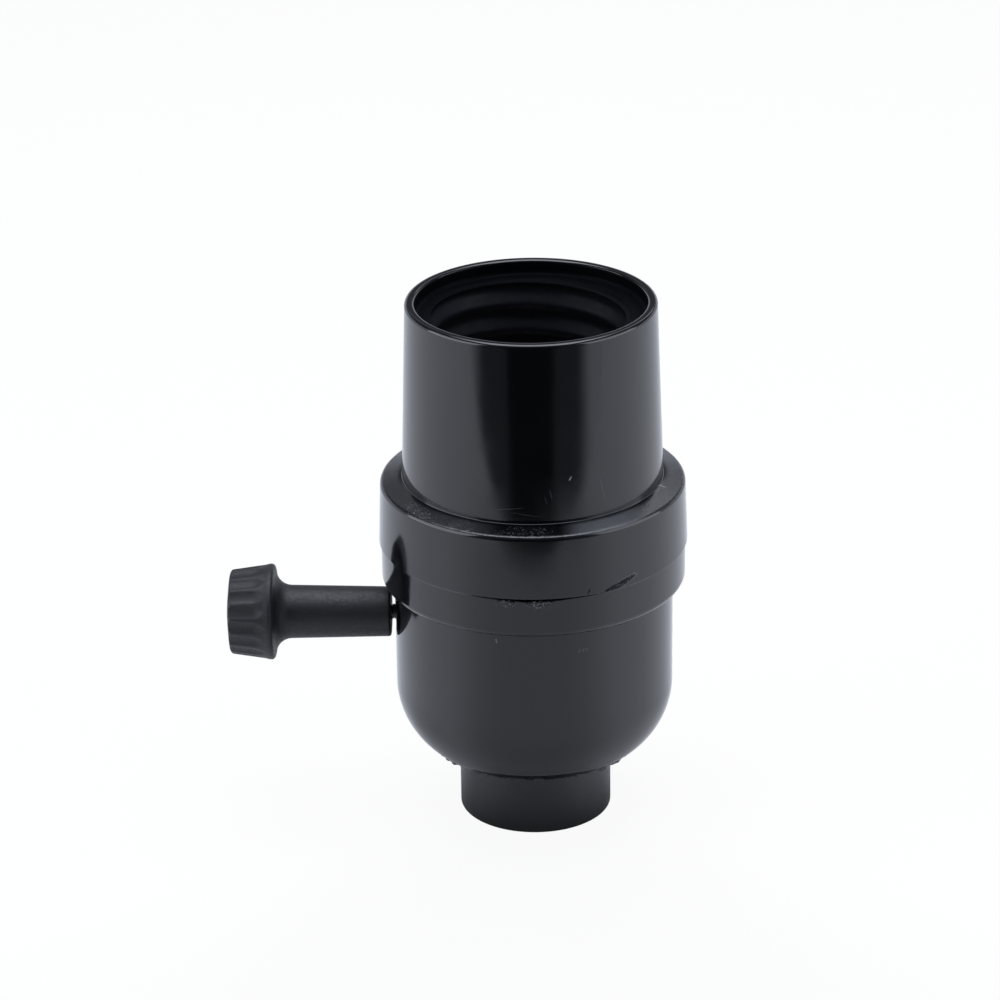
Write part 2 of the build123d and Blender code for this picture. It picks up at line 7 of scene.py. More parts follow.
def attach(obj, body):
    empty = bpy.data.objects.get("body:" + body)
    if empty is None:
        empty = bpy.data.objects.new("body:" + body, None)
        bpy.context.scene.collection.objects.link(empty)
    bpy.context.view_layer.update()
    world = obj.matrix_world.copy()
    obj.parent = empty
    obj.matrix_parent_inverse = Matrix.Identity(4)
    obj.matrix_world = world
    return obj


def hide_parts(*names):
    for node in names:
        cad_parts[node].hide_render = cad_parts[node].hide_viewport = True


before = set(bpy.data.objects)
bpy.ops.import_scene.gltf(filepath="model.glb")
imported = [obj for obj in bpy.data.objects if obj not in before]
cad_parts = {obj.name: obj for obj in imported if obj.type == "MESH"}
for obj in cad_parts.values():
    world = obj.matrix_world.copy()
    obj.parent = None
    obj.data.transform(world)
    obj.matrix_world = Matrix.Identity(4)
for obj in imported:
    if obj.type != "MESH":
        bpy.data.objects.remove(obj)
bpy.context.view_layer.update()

# Camera. It stands half a metre in front of the socket, a little to its right, and looks down on it
# by 23 degrees through a long lens, so the socket fills most of a square picture.
camera_data = bpy.data.cameras.new("camera")
camera_data.lens = 144.3
camera_data.sensor_width = 36.0
camera_data.clip_start = 0.02
camera = bpy.data.objects.new("camera", camera_data)
yaw, tilt, roll = np.radians((1.542, 90 - 23.394, -0.771))
camera.matrix_world = (
    Matrix.Translation((0.00883, -0.49122, 0.2574))
    @ Matrix.Rotation(yaw, 4, "Z")
    @ Matrix.Rotation(tilt, 4, "X")
    @ Matrix.Rotation(roll, 4, "Z")
)
bpy.context.collection.objects.link(camera)
bpy.context.scene.camera = camera
bpy.context.scene.view_settings.view_transform = "Standard"

# Lamps. Soft boxes as over a product table: a wide one overhead, one low at each side, which give the
# black sleeve its two broad grey bands, and two small ones high up behind, which light the flange.
def soft_box(name, place, aim, width, height, power):
    """An area lamp at a place in metres, its face turned towards the aim."""
    data = bpy.data.lights.new(name, "AREA")
    data.shape = "RECTANGLE"
    data.size, data.size_y, data.energy = width, height, power
    data.color = (0.86, 0.9, 1.0)
    lamp = bpy.data.objects.new(name, data)
    back = np.subtract(place, aim)
    back = back / np.linalg.norm(back)
    side = np.cross((0, 1, 0) if abs(back[2]) > 0.9 else (0, 0, 1), back)
    side = side / np.linalg.norm(side)
    turn = Matrix(np.column_stack((side, np.cross(back, side), back)).tolist())
    lamp.matrix_world = Matrix.Translation(place) @ turn.to_4x4()
    bpy.context.collection.objects.link(lamp)


soft_box("overhead_box", (0, 0.06, 0.62), (0, 0, 0), 0.55, 0.55, 3.6)
soft_box("left_box", (-0.43, -0.13, 0.2), (0, 0, 0.05), 0.5, 0.34, 1.22)
soft_box("right_box", (0.43, -0.1, 0.2), (0, 0, 0.05), 0.5, 0.34, 0.92)
soft_box("behind_right", (0.17, 0.5, 0.48), (0, 0, 0.05), 0.17, 0.36, 0.2)
soft_box("behind_left", (-0.17, 0.5, 0.48), (0, 0, 0.05), 0.17, 0.36, 0.05)


# Room and table. White paper lies under the socket and runs up behind it. Close in front it is duller, in
# the camera's own shade. Past its front edge, cut back on the right, the dark room is the black core in
# the sleeve's gloss.
def tone(code):
    """Linear colour of an sRGB hex code: c / 12.92 where c is dark, else ((c + 0.055) / 1.055) ** 2.4."""
    srgb = np.array([int(code[i:i + 2], 16) for i in (1, 3, 5)]) / 255
    linear = np.where(srgb <= 0.04045, srgb / 12.92, ((srgb + 0.055) / 1.055) ** 2.4)
    return (*linear.tolist(), 1.0)


def add(tree, kind, sockets=None, **settings):
    """Adds a node, sets its plain settings, and fills its sockets.

    A socket gets a plain value, a link to another node's output, or a link to another node's first output
    where the node itself is given.
    """
    node = tree.nodes.new("ShaderNode" + kind)
    for name, value in settings.items():
        setattr(node, name, value)
    for name, value in (sockets or {}).items():
        if isinstance(value, bpy.types.Node):
            value = value.outputs[0]
        if isinstance(value, bpy.types.NodeSocket):
            tree.links.new(value, node.inputs[name])
        else:
            node.inputs[name].default_value = value
    return node


world = bpy.data.worlds.new("white_paper_and_dim_room")
world.use_nodes = True
room = world.node_tree
room.nodes.clear()
direction = add(room, "SeparateXYZ", {0: add(room, "TexCoord").outputs["Generated"]})
low_down = add(room, "MapRange", {"Value": direction.outputs["Z"], "From Min": 0.12, "From Max": 0.34,
                                  "To Min": 1.0, "To Max": 0.0}, interpolation_type="SMOOTHSTEP")
not_in_front = add(room, "MapRange", {"Value": direction.outputs["Y"], "From Min": -0.72, "From Max": -0.52},
                   interpolation_type="SMOOTHSTEP")
paper = add(room, "Math", {0: low_down, 1: not_in_front}, operation="MULTIPLY")
dim_room = add(room, "MapRange", {"Value": direction.outputs["Y"], "From Min": -0.91, "From Max": -0.87,
                                  "To Min": 0.02, "To Max": 0.13}, interpolation_type="SMOOTHSTEP")
brightness = add(room, "MapRange", {"Value": paper, "To Min": dim_room, "To Max": 1.0})
on_camera = add(room, "LightPath").outputs["Is Camera Ray"]
seen = add(room, "Math", {0: brightness, 1: on_camera}, operation="MAXIMUM")
hue = add(room, "Mix", {"Factor": on_camera, 6: tone("#ecf2ff"), 7: tone("#ffffff")}, data_type="RGBA")
background = add(room, "Background", {"Color": hue.outputs[2], "Strength": seen})
add(room, "OutputWorld", {"Surface": background})
bpy.context.scene.world = world

half_width, back_edge, front_edge, cut_back = 0.9, 1.2, -0.1415, -0.1
corners = [(-half_width, front_edge, 0), (0.06, front_edge, 0), (0.17, cut_back, 0),
           (half_width, cut_back, 0), (half_width, back_edge, 0), (-half_width, back_edge, 0)]
paper_mesh = bpy.data.meshes.new("paper")
paper_mesh.from_pydata(corners, [], [tuple(range(len(corners)))])
paper_sheet = bpy.data.objects.new("paper", paper_mesh)
bpy.context.collection.objects.link(paper_sheet)
matt_paper = bpy.data.materials.new("matt_white_paper")
matt_paper.use_nodes = True
tree = matt_paper.node_tree
tree.nodes.clear()
place = add(tree, "TexCoord").outputs["Object"]
towards = add(tree, "VectorMath", {0: place}, operation="NORMALIZE")
facing = add(tree, "VectorMath", {0: towards, 1: (0, -1, 0)}, operation="DOT_PRODUCT")
shade = add(tree, "MapRange", {"Value": facing.outputs["Value"], "From Min": 0.4, "To Max": 0.36},
            interpolation_type="SMOOTHSTEP")
away = add(tree, "VectorMath", {0: place}, operation="LENGTH")
near = add(tree, "MapRange", {"Value": away.outputs["Value"], "From Min": 0.14, "From Max": 0.18,
                              "To Min": 1.0, "To Max": 0.0}, interpolation_type="SMOOTHSTEP")
shade = add(tree, "Math", {0: shade, 1: near}, operation="MULTIPLY")
paper_tone = add(tree, "Mix", {"Factor": shade, 6: tone("#f4f4f4"), 7: tone("#000000")}, data_type="RGBA")
sheet_itself = add(tree, "BsdfDiffuse", {"Color": paper_tone.outputs[2]})
plain_white = add(tree, "Emission", {"Color": tone("#ffffff"), "Strength": 1.0})
share = add(tree, "Math", {0: add(tree, "LightPath").outputs["Is Camera Ray"], 1: 0.93}, operation="MULTIPLY")
paper_mix = add(tree, "MixShader", {0: share, 1: sheet_itself, 2: plain_white})
add(tree, "OutputMaterial", {"Surface": paper_mix})
paper_mesh.materials.append(matt_paper)


# Hub bushing. A short zinc-plated steel tube, moulded into the hub and cut flush with its flat end. Its
# bore has the fine thread of the lamp's pipe, and two grooves outside keep it from pulling out.
def arc_corner(before, corner, after, radius, steps):
    """The points that round one corner: an arc that touches both sides, from one side to the other.

    With a and b the unit vectors along the sides and q half the angle between them, the arc touches the
    sides at radius / tan q from the corner, and its centre lies on the bisector at radius / sin q.
    """
    a = np.subtract(before, corner)
    b = np.subtract(after, corner)
    a, b = a / np.linalg.norm(a), b / np.linalg.norm(b)
    half = np.arccos(np.clip(a @ b, -1, 1)) / 2
    centre = corner + (a + b) / np.linalg.norm(a + b) * radius / np.sin(half)
    first = corner + a * radius / np.tan(half) - centre
    last = corner + b * radius / np.tan(half) - centre
    span = np.arccos(np.clip(first @ last / radius**2, -1, 1))
    part = np.linspace(0, 1, steps + 1)[:, None]
    return centre + (np.sin((1 - part) * span) * first + np.sin(part * span) * last) / np.sin(span)


def profile(corners, steps=6, spacing=1.5):
    """A smooth row of points through (distance from the axis, place along it, rounding) corners.

    Each rounded corner becomes an arc; the first and the last are sharp. Each straight run gets a point
    close to both ends, so that the shading stays flat between them, and further ones at about the spacing.
    """
    margin = 0.05
    turned = []
    for number, (r, h, rounding) in enumerate(corners):
        if rounding == 0:
            turned.append(np.array([[r, h]]))
        else:
            before, after = np.array(corners[number - 1][:2]), np.array(corners[number + 1][:2])
            turned.append(arc_corner(before, np.array((r, h)), after, rounding, steps))
    rows = [turned[0]]
    for here, there in zip(turned, turned[1:]):
        start, end = here[-1], there[0]
        length = np.linalg.norm(end - start)
        if length > 4 * margin:
            count = max(int(length / spacing), 1)
            share = np.concatenate(([margin / length], np.arange(1, count) / count, [1 - margin / length]))
            rows.append(start + share[:, None] * (end - start))
        rows.append(there)
    points = np.concatenate(rows)
    apart = np.linalg.norm(np.diff(points, axis=0), axis=1) > 1e-6
    return points[np.concatenate(([True], apart))]


def surface(name, points, closed_profile=True):
    """A closed mesh through a grid of points in millimetres, rows along the profile and columns around.

    Each four neighbours make one face. Columns always join up; rows join up where the profile is closed,
    and otherwise its two ends lie on the axis. Points that coincide are merged, and all faces are turned
    over together if the volume inside comes out negative.
    """
    rows, columns = points.shape[:2]
    row = np.arange(rows if closed_profile else rows - 1)[:, None]
    column = np.arange(columns)[None, :]
    next_row, next_column = (row + 1) % rows, (column + 1) % columns
    corners = [row * columns + column, row * columns + next_column,
               next_row * columns + next_column, next_row * columns + column]
    faces = np.stack(corners, axis=-1).reshape(-1, 4)
    flat = points.reshape(-1, 3)
    a, b, c, d = (flat[faces[:, i]] for i in range(4))
    volume = np.einsum("ij,ij->", np.cross(a, b), c) + np.einsum("ij,ij->", np.cross(a, c), d)
    if volume < 0:
        faces = faces[:, ::-1]
    mesh = bpy.data.meshes.new(name)
    mesh.from_pydata((flat / 1000).tolist(), [], faces.tolist())
    form = bmesh.new()
    form.from_mesh(mesh)
    bmesh.ops.remove_doubles(form, verts=form.verts, dist=1e-8)
    form.to_mesh(mesh)
    form.free()
    mesh.polygons.foreach_set("use_smooth", np.ones(len(mesh.polygons), dtype=bool))
    piece = bpy.data.objects.new(name, mesh)
    bpy.context.collection.objects.link(piece)
    return piece


def around_z(radius, height, angles):
    """Grid points from radii and heights (rows, columns) at the angles of the columns about +Z."""
    height = np.broadcast_to(height, radius.shape)
    return np.stack((radius * np.cos(angles), radius * np.sin(angles), height), axis=-1)


def metal(name, colour, tarnish, roughness, grain_mm=(0.4, 0.4, 0.4)):
    """A bare or plated metal: grain varies its roughness, and patches of about 4 mm are tarnished."""
    uneven, dullness = 0.12, 0.35
    made = bpy.data.materials.new(name)
    made.use_nodes = True
    tree = made.node_tree
    place = add(tree, "TexCoord").outputs["Object"]
    stretched = add(tree, "Mapping", {"Vector": place, "Scale": tuple(1000 / width for width in grain_mm)})
    grain = add(tree, "TexNoise", {"Vector": stretched, "Scale": 1.0, "Detail": 3.0})
    patches = add(tree, "TexNoise", {"Vector": place, "Scale": 260.0, "Detail": 4.0})
    rough = add(tree, "MapRange", {"Value": grain, "From Min": 0.3, "From Max": 0.7,
                                   "To Min": roughness - uneven / 2, "To Max": roughness + uneven / 2})
    dull = add(tree, "MapRange", {"Value": patches, "From Min": 0.42, "From Max": 0.7, "To Min": 0.0,
                                  "To Max": dullness})
    colours = add(tree, "Mix", {"Factor": dull, 6: tone(colour), 7: tone(tarnish)}, data_type="RGBA")
    bump = add(tree, "Bump", {"Height": grain, "Strength": 0.12, "Distance": 0.00002})
    shader = tree.nodes["Principled BSDF"]
    shader.inputs["Metallic"].default_value = 1.0
    tree.links.new(colours.outputs[2], shader.inputs["Base Color"])
    tree.links.new(rough.outputs[0], shader.inputs["Roughness"])
    tree.links.new(bump.outputs[0], shader.inputs["Normal"])
    return made


# Zinc plate on steel: a pale bluish grey, dull in patches where it was handled.
zinc_plate = metal("zinc_plated_steel", "#b9bcc0", "#7e8082", 0.36)

bore_r, bushing_r, groove_r, bushing_length = 4.57, 6.5, 6.0, 11.6
pipe_pitch, pipe_thread_depth, chamfer, run_out = 0.941, 0.5, 0.4, 0.6
around = np.radians(np.arange(0, 360, 3.0))
grooves = [(r, h, 0.1) for low, high in ((3.267, 4.467), (7.133, 8.333))
           for r, h in ((bushing_r, low), (groove_r, low), (groove_r, high), (bushing_r, high))]
in_bore = np.linspace(bushing_length - 0.05, chamfer, 150)
section = np.concatenate((
    profile([(bore_r + chamfer, 0, 0), (bushing_r, 0, 0.05), *grooves, (bushing_r, bushing_length, 0.1),
             (bore_r, bushing_length, 0)], steps=3),
    np.column_stack((np.full(len(in_bore), bore_r), in_bore))))
r, h = section[:, :1] + 0 * around, section[:, 1:]
climb = np.abs((h / pipe_pitch - around / (2 * np.pi)) % 1 - 0.5) * 2
threaded = (section[:, :1] < bore_r + 0.01) & (h < bushing_length - 0.02)
fade = np.clip((bushing_length - h) / run_out, 0, 1)
r = r + np.where(threaded, pipe_thread_depth * climb * fade, 0)
bushing = surface("threaded_bushing", around_z(r, h, around))
bushing.data.materials.append(zinc_plate)
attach(bushing, "socket")
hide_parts("hub_bushing")


# Lower cap. One black phenolic moulding, pressed in a polished mould: hub, dome, body and the lower half
# of the ring. The hub's foot is duller, and the parting line under the dome keeps a ragged flash.
def noise_row(angles, seed, waves):
    """A smooth random row over closed angles, between about -1 and 1: a sum of cosines around the circle."""
    chance, count = np.random.default_rng(seed), 24
    order = chance.integers(waves[0], waves[1], count)[:, None]
    phase = chance.uniform(0, 2 * np.pi, count)[:, None]
    return np.cos(order * angles + phase).sum(axis=0) / np.sqrt(count)


def bump_at(angles, middle, width):
    """A smooth bell round one angle, all three in degrees."""
    apart = (np.degrees(angles) - middle + 180) % 360 - 180
    return np.exp(-(apart / width) ** 2)


# Phenolic takes the mould's high polish, so it mirrors the white paper and the dark room in a near-black,
# slightly blue skin. The hub's foot came out of the mould duller, and the sloping flange is painted paler at
# both sides, most on the right, as a painted sheen of light. The polish varies in clouds of 5 mm, the mould's
# waves are 2.4 mm long, and what is broken has a grain of 0.3 mm.
black_phenolic = bpy.data.materials.new("polished_black_phenolic")
black_phenolic.use_nodes = True
tree = black_phenolic.node_tree
place = add(tree, "TexCoord").outputs["Object"]
across, _, height = add(tree, "SeparateXYZ", {0: place}).outputs
cloud = add(tree, "TexNoise", {"Vector": place, "Scale": 190.0, "Detail": 4.0})
fine = add(tree, "TexNoise", {"Vector": place, "Scale": 3500.0, "Detail": 2.0, "Roughness": 0.6})
polish = add(tree, "MapRange", {"Value": cloud, "From Min": 0.3, "From Max": 0.7, "To Min": 0.09,
                                "To Max": 0.13}, interpolation_type="SMOOTHSTEP")
dull_foot = add(tree, "MapRange", {"Value": height, "From Min": 0.0095, "From Max": 0.0104, "To Min": 0.2,
                                   "To Max": 0.0}, interpolation_type="SMOOTHSTEP")
rough = add(tree, "Math", {0: polish, 1: dull_foot}, operation="ADD")
above_edge = add(tree, "MapRange", {"Value": height, "From Min": 0.04805, "From Max": 0.0482},
                 interpolation_type="SMOOTHSTEP")
below_sleeve = add(tree, "MapRange", {"Value": height, "From Min": 0.0487, "From Max": 0.0489, "To Min": 1.0,
                                      "To Max": 0.0}, interpolation_type="SMOOTHSTEP")
on_flange = add(tree, "Math", {0: above_edge, 1: below_sleeve}, operation="MULTIPLY")
rough = add(tree, "Math", {0: on_flange, 1: 0.06, 2: rough}, operation="MULTIPLY_ADD")

# Marks of handling and of the mould, each an ellipsoid on the skin: its angle, distance from the axis and
# height, half its length round the socket and half its height, its lean, how pale and how rough it is,
# and the level of the fine noise from which it shows, or 0 where nothing breaks it up. Where it is rougher
# than 2, the polish is gone and the skin is dark. Lengths are in millimetres.
pale_marks_and_sheen, torn = 0.0, on_flange
for angle, radius, up, half_length, half_height, lean, paleness, roughness, shows_from in (
    (-99.5, 20.3, 38.85, 1.6, 0.6, 0, 0.42, 1.6, 0.53),      # chipped skin under the seam, in two blots
    (-86.5, 20.3, 38.8, 2.3, 0.7, 0, 0.46, 1.8, 0.53),
    (-55.4, 20.6, 40.25, 3.2, 0.5, 16, 0.2, 5.0, 0.53),      # torn band on the upper ring's edge
    (-68.6, 20.62, 40.15, 0.12, 0.55, -30, 0.0, 5.0, 0),     # nick above the seam
    (-104.3, 18.72, 32.6, 0.13, 0.45, 8, 0.4, 0.0, 0),       # small scuffs on the body
    (-70.6, 18.72, 30.9, 0.07, 0.36, -38, 0.32, 0.0, 0),
    (-69.0, 18.72, 30.9, 0.07, 0.36, -38, 0.32, 0.0, 0),
    (-67.4, 18.72, 30.9, 0.07, 0.36, -38, 0.28, 0.0, 0),
    (-72.6, 17.25, 54.9, 0.12, 0.4, -32, 0.9, 0.0, 0),       # chip and hairlines on the sleeve
    (-57.5, 17.3, 52.6, 0.04, 2.3, 12, 0.24, 0.0, 0),
    (-81.2, 17.3, 52.9, 0.05, 0.9, 14, 0.16, 0.0, 0),
    (-83.4, 17.3, 52.1, 0.05, 0.7, 22, 0.13, 0.0, 0),
    (-100.0, 17.35, 50.9, 2.6, 0.035, 7, 0.22, 0.0, 0),
    (-92.0, 17.38, 50.2, 2.4, 0.03, -9, 0.2, 0.0, 0),
    (-15.5, 17.8, 48.83, 0.2, 0.2, 0, 1.0, 0.0, 0),          # one bright chip at the sleeve's foot
    (-118.0, 19.0, 48.5, 2.6, 1.2, 0, 0.2, 1.8, 0.59),       # specks on the flange
    (-141.0, 19.0, 48.5, 3.6, 1.2, 0, 0.5, 1.8, 0.59),
    (-92.0, 19.0, 48.5, 5.2, 1.2, 0, 0.24, 1.8, 0.59),
    (-60.0, 19.0, 48.5, 2.2, 1.2, 0, 0.3, 1.8, 0.59),
):
    turn = np.radians(angle)
    centre = (radius * np.cos(turn) / 1000, radius * np.sin(turn) / 1000, up / 1000)
    frame_of_mark = add(tree, "Mapping", {"Vector": place, "Location": centre,
                                          "Rotation": (np.radians(lean), 0.0, turn),
                                          "Scale": (0.0015, half_length / 1000, half_height / 1000)},
                        vector_type="TEXTURE")
    reach = add(tree, "VectorMath", {0: frame_of_mark}, operation="LENGTH").outputs["Value"]
    inside = add(tree, "MapRange", {"Value": reach, "From Min": 0.6, "From Max": 1.0, "To Min": 1.0,
                                    "To Max": 0.0}, interpolation_type="SMOOTHSTEP")
    rougher = add(tree, "Math", {0: inside, 1: roughness}, operation="MULTIPLY")
    torn = add(tree, "Math", {0: torn, 1: rougher}, operation="MAXIMUM")
    paler = add(tree, "Math", {0: inside, 1: paleness}, operation="MULTIPLY")
    if shows_from:
        broken = add(tree, "MapRange", {"Value": fine, "From Min": shows_from, "From Max": shows_from + 0.07},
                     interpolation_type="SMOOTHSTEP")
        paler = add(tree, "Math", {0: paler, 1: broken}, operation="MULTIPLY")
    pale_marks_and_sheen = add(tree, "Math", {0: pale_marks_and_sheen, 1: paler}, operation="MAXIMUM")
# Dust lies in a few of the 1.6 mm cells.
cells = add(tree, "TexVoronoi", {"Vector": place, "Scale": 620.0, "Randomness": 1.0})
chance = add(tree, "SeparateColor", {0: cells.outputs["Color"]})
rare = add(tree, "Math", {0: chance, 1: 0.985}, operation="GREATER_THAN")
speck = add(tree, "MapRange", {"Value": cells.outputs["Distance"], "From Min": 0.03, "From Max": 0.09,
                               "To Min": 0.5, "To Max": 0.0}, interpolation_type="SMOOTHSTEP")
dust = add(tree, "Math", {0: speck, 1: rare}, operation="MULTIPLY")
pale_marks_and_sheen = add(tree, "Math", {0: pale_marks_and_sheen, 1: dust}, operation="MAXIMUM")
# Painted sheen of light: the flange's top is painted paler to the right and left of the middle, most on the
# right, and less again towards its far sides. It joins the pale marks and dust in one colour mix.
sheen_right = add(tree, "MapRange", {"Value": across, "From Min": 0.0035, "From Max": 0.0075, "To Min": 0.0,
                                      "To Max": 0.3}, interpolation_type="SMOOTHSTEP")
sheen_left = add(tree, "MapRange", {"Value": across, "From Min": -0.0075, "From Max": -0.0035, "To Min": 0.1,
                                     "To Max": 0.0}, interpolation_type="SMOOTHSTEP")
painted_sheen = add(tree, "Math", {0: sheen_right, 1: sheen_left}, operation="ADD")
aside = add(tree, "Math", {0: across}, operation="ABSOLUTE")
sheen_fade_aside = add(tree, "MapRange", {"Value": aside, "From Min": 0.0115, "From Max": 0.0165, "To Min": 1.0,
                                "To Max": 0.25}, interpolation_type="SMOOTHSTEP")
painted_sheen = add(tree, "Math", {0: painted_sheen, 1: sheen_fade_aside}, operation="MULTIPLY")
painted_sheen = add(tree, "Math", {0: painted_sheen, 1: on_flange}, operation="MULTIPLY")
pale_marks_and_sheen = add(tree, "Math", {0: pale_marks_and_sheen, 1: painted_sheen}, operation="MAXIMUM")
colours = add(tree, "Mix", {"Factor": pale_marks_and_sheen, 6: tone("#050609"), 7: tone("#8b8d92")}, data_type="RGBA")
rough = add(tree, "Math", {0: pale_marks_and_sheen, 1: 0.4, 2: rough}, operation="MULTIPLY_ADD")
waves = add(tree, "TexNoise", {"Vector": place, "Scale": 420.0, "Detail": 2.0})
peel = add(tree, "Bump", {"Height": waves, "Strength": 0.4, "Distance": 0.000005})
torn_grain = add(tree, "Math", {0: torn, 1: fine}, operation="MULTIPLY")
grit = add(tree, "Bump", {"Height": torn_grain, "Strength": 0.6, "Distance": 0.00006, "Normal": peel})
gloss = add(tree, "MapRange", {"Value": torn, "From Min": 2.0, "From Max": 3.0, "To Min": 0.5, "To Max": 0.1},
            interpolation_type="SMOOTHSTEP")
shader = tree.nodes["Principled BSDF"]
shader.inputs["IOR"].default_value = 1.62
tree.links.new(gloss.outputs[0], shader.inputs["Specular IOR Level"])
tree.links.new(colours.outputs[2], shader.inputs["Base Color"])
tree.links.new(rough.outputs[0], shader.inputs["Roughness"])
tree.links.new(grit.outputs[0], shader.inputs["Normal"])

body_r, dome_r, dome_top, hub_r, hub_top, wall = 18.72, 10.7, 18.95, 10.28, 10.04, 2.2
ring_r, ring_foot, seam, pocket_r, pocket_floor = 20.36, 33.91, 39.6, 18.9, 36.0
inner_r, pipe_stop_r, hole_r, hole_z, patch = 16.52, 5.6, 2.6, 28.47, 6.0
curve = np.arcsin((dome_top - hub_top) / dome_r) * np.linspace(1, 0, 19)[1:-1]
outer_dome = [(body_r - dome_r + dome_r * np.cos(t), dome_top - dome_r * np.sin(t), 0) for t in curve]
inner_floor, inner_dome_r = hub_top + wall, dome_r - wall
curve = np.arcsin((dome_top - inner_floor) / inner_dome_r) * np.linspace(0, 1, 10)[1:]
inner_dome = [(body_r - dome_r + inner_dome_r * np.cos(t), dome_top - inner_dome_r * np.sin(t), 0)
              for t in curve]
dome_foot = body_r - dome_r + np.sqrt(dome_r**2 - (dome_top - hub_top) ** 2)
low_part = profile([(bushing_r, 0, 0), (hub_r, 0, 0.35), (hub_r, hub_top, 0.3), (dome_foot, hub_top, 0.12),
                    *outer_dome, (body_r, dome_top, 0), (body_r, hole_z - patch, 0)])
high_part = profile([(body_r, hole_z + patch, 0), (body_r, ring_foot, 0), (ring_r, ring_foot, 1.0),
                     (ring_r, seam, 0.16), (pocket_r, seam, 0.1), (pocket_r, pocket_floor, 0.1),
                     (inner_r, pocket_floor, 0.15), (inner_r, hole_z + patch, 0)])
last_part = profile([(inner_r, hole_z - patch, 0), (inner_r, dome_top, 0), *inner_dome,
                     (pipe_stop_r, inner_floor, 0.15), (pipe_stop_r, bushing_length, 0.1),
                     (bushing_r, bushing_length, 0), (bushing_r, 0.02, 0)])
# Beside the stud's hole, rows and columns lie closer, from a square patch round it to the hole's edge.
hole_rows = np.concatenate((np.linspace(-patch, -hole_r, 9)[1:-1], np.linspace(-hole_r, hole_r, 13),
                            np.linspace(hole_r, patch, 9)[1:-1]))
outer_rows = np.column_stack((np.full(len(hole_rows), body_r), hole_z + hole_rows))
inner_rows = np.column_stack((np.full(len(hole_rows), inner_r), hole_z - hole_rows))
section = np.concatenate((low_part, outer_rows, high_part, inner_rows, last_part))
front = np.arange(-132.0, -36.0, 0.5)
spread = np.arange(0, 360, 1.5)
spread = spread[(spread < 228) | (spread > 324)]
near_hole = 180 + np.degrees(hole_rows / body_r)
clear = np.abs(spread - 180) > np.degrees((patch + 0.2) / body_r)
around = np.radians(np.sort(np.concatenate((front % 360, near_hole, spread[clear]))))
r, h = section[:, :1] + 0 * around, section[:, 1:] + 0 * around
# The seam stands open at the front, and a ragged flash hangs from the dome's foot.
gap = 0.02 + 0.3 * bump_at(around, -89.5, 14) * (1 + 0.12 * noise_row(around, 3, (20, 60)))
near_seam = np.exp(-((seam - h) / 0.5) ** 2) * (r > 19.0)
h = h - near_seam * gap
at_sides = 0.7 * bump_at(around, 0, 22) + 0.7 * bump_at(around, 180, 22)
ragged = np.clip(0.55 + 0.9 * noise_row(around, 5, (6, 60)) + at_sides, 0, 1.5)
flash = np.exp(-((h - hub_top) / 0.12) ** 2) * np.exp(-((r - dome_foot) / 0.25) ** 2)
h = h - flash * 0.13 * ragged
r = r + flash * 0.2 * ragged
# Round the stud's hole, the square rings of the grid are pulled into circles, less and less outwards.
across = (np.degrees(around) - 180) * np.pi / 180 * body_r
across = np.broadcast_to(across, r.shape)
up = h - hole_z
on_skin = (np.abs(r - body_r) < 0.01) | (np.abs(r - inner_r) < 0.01)
on_wall = (np.abs(up) < patch - 0.01) & (np.abs(across) < patch - 0.01) & on_skin
square = np.maximum(np.abs(across), np.abs(up))
circle = np.hypot(across, up)
weight = np.clip((patch - square) / (patch - hole_r), 0, 1)
pull = np.where(on_wall & (circle > 1e-6), 1 + weight * (square / np.maximum(circle, 1e-6) - 1), 1)
angle = np.where(on_wall, np.pi + across * pull / body_r, around)
h = np.where(on_wall, hole_z + up * pull, h)
points = np.stack((r * np.cos(angle), r * np.sin(angle), h), axis=-1)
cap = surface("lower_moulding", points)
centres = np.empty(3 * len(cap.data.polygons), dtype=np.float32)
cap.data.polygons.foreach_get("center", centres)
x, y, z = centres.reshape(-1, 3).T * 1000
from_axis = np.hypot(x, y)
on_skin = (np.abs(from_axis - body_r) < 0.2) | (np.abs(from_axis - inner_r) < 0.2)
in_hole = (x < 0) & (np.hypot(y, z - hole_z) < hole_r * 0.999) & on_skin
form = bmesh.new()
form.from_mesh(cap.data)
form.faces.ensure_lookup_table()
bmesh.ops.delete(form, geom=[form.faces[number] for number in np.flatnonzero(in_hole)], context="FACES")
bmesh.ops.bridge_loops(form, edges=[edge for edge in form.edges if edge.is_boundary])
form.to_mesh(cap.data)
form.free()
cap.data.polygons.foreach_set("use_smooth", np.ones(len(cap.data.polygons), dtype=bool))
cap.data.materials.append(black_phenolic)
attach(cap, "socket")
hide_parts("lower_cap")


# Upper shell. The second black phenolic moulding: upper half of the ring, tall sleeve and the bulb's
# thread in its mouth. The sleeve has the mould's full polish; a spigot under the ring enters the cap.

# Inside the mouth the skin is as it left the core pin: unpolished, with drag marks of about 1 mm, so it
# stays dark under the lamps.
dull_phenolic = bpy.data.materials.new("unpolished_black_phenolic")
dull_phenolic.use_nodes = True
tree = dull_phenolic.node_tree
place = add(tree, "TexCoord").outputs["Object"]
up = add(tree, "SeparateXYZ", {0: place}).outputs["Z"]
drag = add(tree, "TexNoise", {"Vector": place, "Scale": 800.0, "Detail": 4.0})
bump = add(tree, "Bump", {"Height": drag, "Strength": 0.3, "Distance": 0.00003})
on_ledge = add(tree, "MapRange", {"Value": up, "From Min": 0.0702, "From Max": 0.0712},
               interpolation_type="SMOOTHSTEP")
colours = add(tree, "Mix", {"Factor": on_ledge, 6: tone("#16171c"), 7: tone("#050609")}, data_type="RGBA")
gloss = add(tree, "MapRange", {"Value": on_ledge, "To Min": 0.2, "To Max": 0.06})
